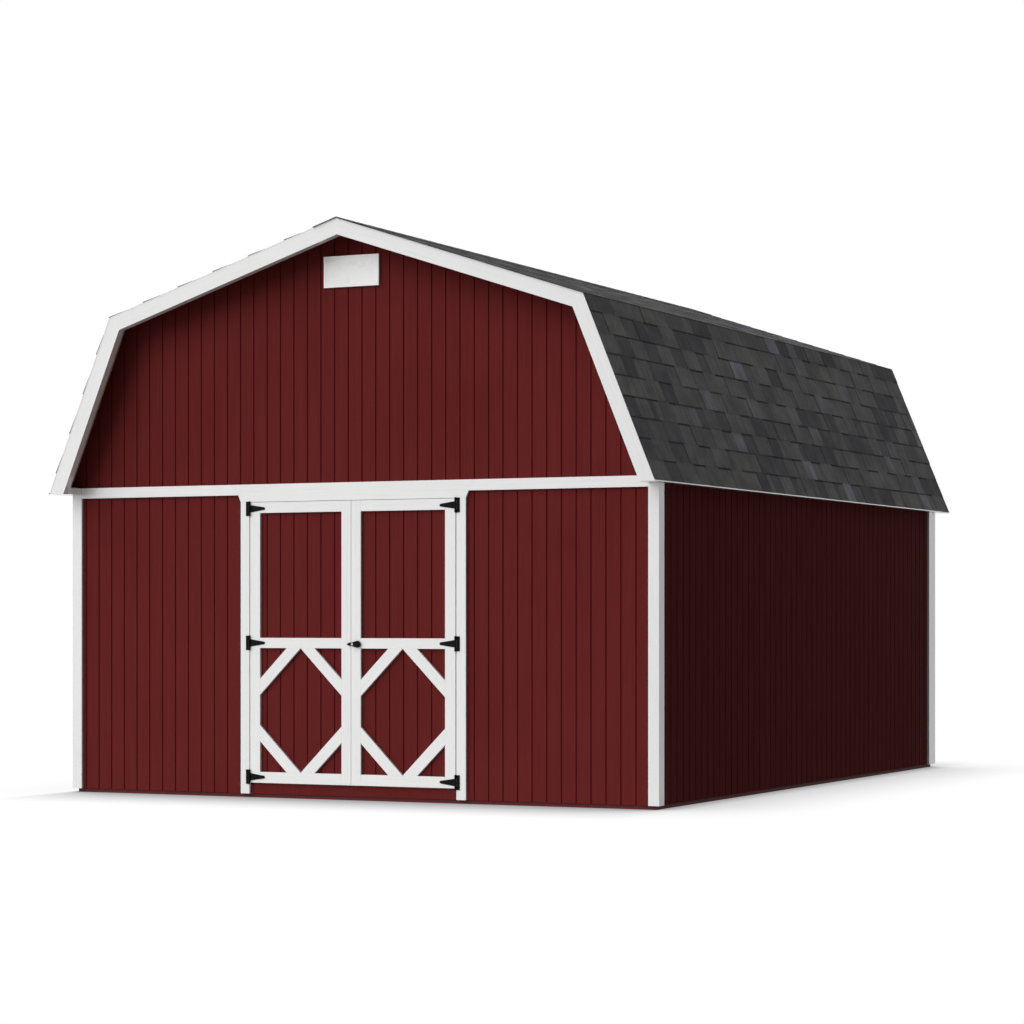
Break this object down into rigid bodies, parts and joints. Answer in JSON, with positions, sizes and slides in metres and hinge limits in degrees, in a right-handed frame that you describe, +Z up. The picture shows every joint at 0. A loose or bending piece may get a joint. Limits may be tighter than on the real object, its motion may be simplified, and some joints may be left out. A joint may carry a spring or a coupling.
{
  "type": "gambrel barn",
  "caption": "Small gambrel-roofed storage barn with grooved red siding, white trim, shingle roof and a pair of hinged front doors.",
  "frame": {"origin": "on the ground, under the middle of the floor", "axes": "+X to the right seen from the front, +Y from the door front to the back, +Z up"},
  "size_m": [4.4416, 5.93, 3.7482],
  "materials": {
    "timber": "sawn softwood framing",
    "floor_boards": "plywood floor",
    "roof_boards": "strand board sheathing",
    "siding": "grooved siding, barn red satin paint",
    "trim": "white satin paint",
    "shingles": "charcoal mineral granules",
    "hardware": "black powder coat"
  },
  "bodies": {
    "barn": {"floor_frame": "timber", "left_wall_frame": "timber", "right_wall_frame": "timber", "back_wall_frame": "timber", "front_left_wall_frame": "timber", "front_right_wall_frame": "timber", "door_lintel": "timber", "front_gable_frame": "timber", "back_gable_frame": "timber", "left_lower_rafters": "timber", "right_lower_rafters": "timber", "left_upper_rafters": "timber", "right_upper_rafters": "timber", "ridge_board": "timber", "floor_boards": "floor_boards", "lower_roof_boards": "roof_boards", "upper_roof_boards": "roof_boards", "rafter_gussets": "roof_boards", "left_siding": "siding", "right_siding": "siding", "back_siding": "siding", "back_gable_siding": "siding", "front_left_siding": "siding", "front_right_siding": "siding", "front_gable_siding": "siding", "door_sill_strip": "siding", "lower_fly_rafters": "trim", "upper_fly_rafters": "trim", "lower_rake_boards": "trim", "upper_rake_boards": "trim", "eave_boards": "trim", "front_band": "trim", "back_band": "trim", "front_corner_boards": "trim", "back_corner_boards": "trim", "door_header_trim": "trim", "door_casings": "trim", "gable_vent": "trim", "lower_shingles": "shingles", "upper_shingles": "shingles", "ridge_cap": "shingles", "hinge_plates": "hardware"},
    "left_door": {"left_door_panel": "siding", "left_door_trim": "trim", "left_door_frame": "timber", "left_hinge_straps": "hardware", "latch_keeper": "hardware"},
    "right_door": {"right_door_panel": "siding", "right_door_trim": "trim", "right_door_frame": "timber", "right_hinge_straps": "hardware", "latch_rose": "hardware"},
    "latch": {"latch_handle": "hardware"}
  },
  "joints": [
    {"name": "left_door_swing", "type": "hinge", "parent": "barn", "child": "left_door", "pos_m": [-0.762, -2.7815, 1.016], "axis": [0, 0, -1], "range_deg": [0, 170]},
    {"name": "right_door_swing", "type": "hinge", "parent": "barn", "child": "right_door", "pos_m": [0.762, -2.7815, 1.016], "axis": [0, 0, 1], "range_deg": [0, 170]},
    {"name": "latch_turn", "type": "hinge", "parent": "right_door", "child": "latch", "pos_m": [0.018, -2.78, 1.01], "axis": [0, 1, 0], "range_deg": [0, 90]}
  ]
}
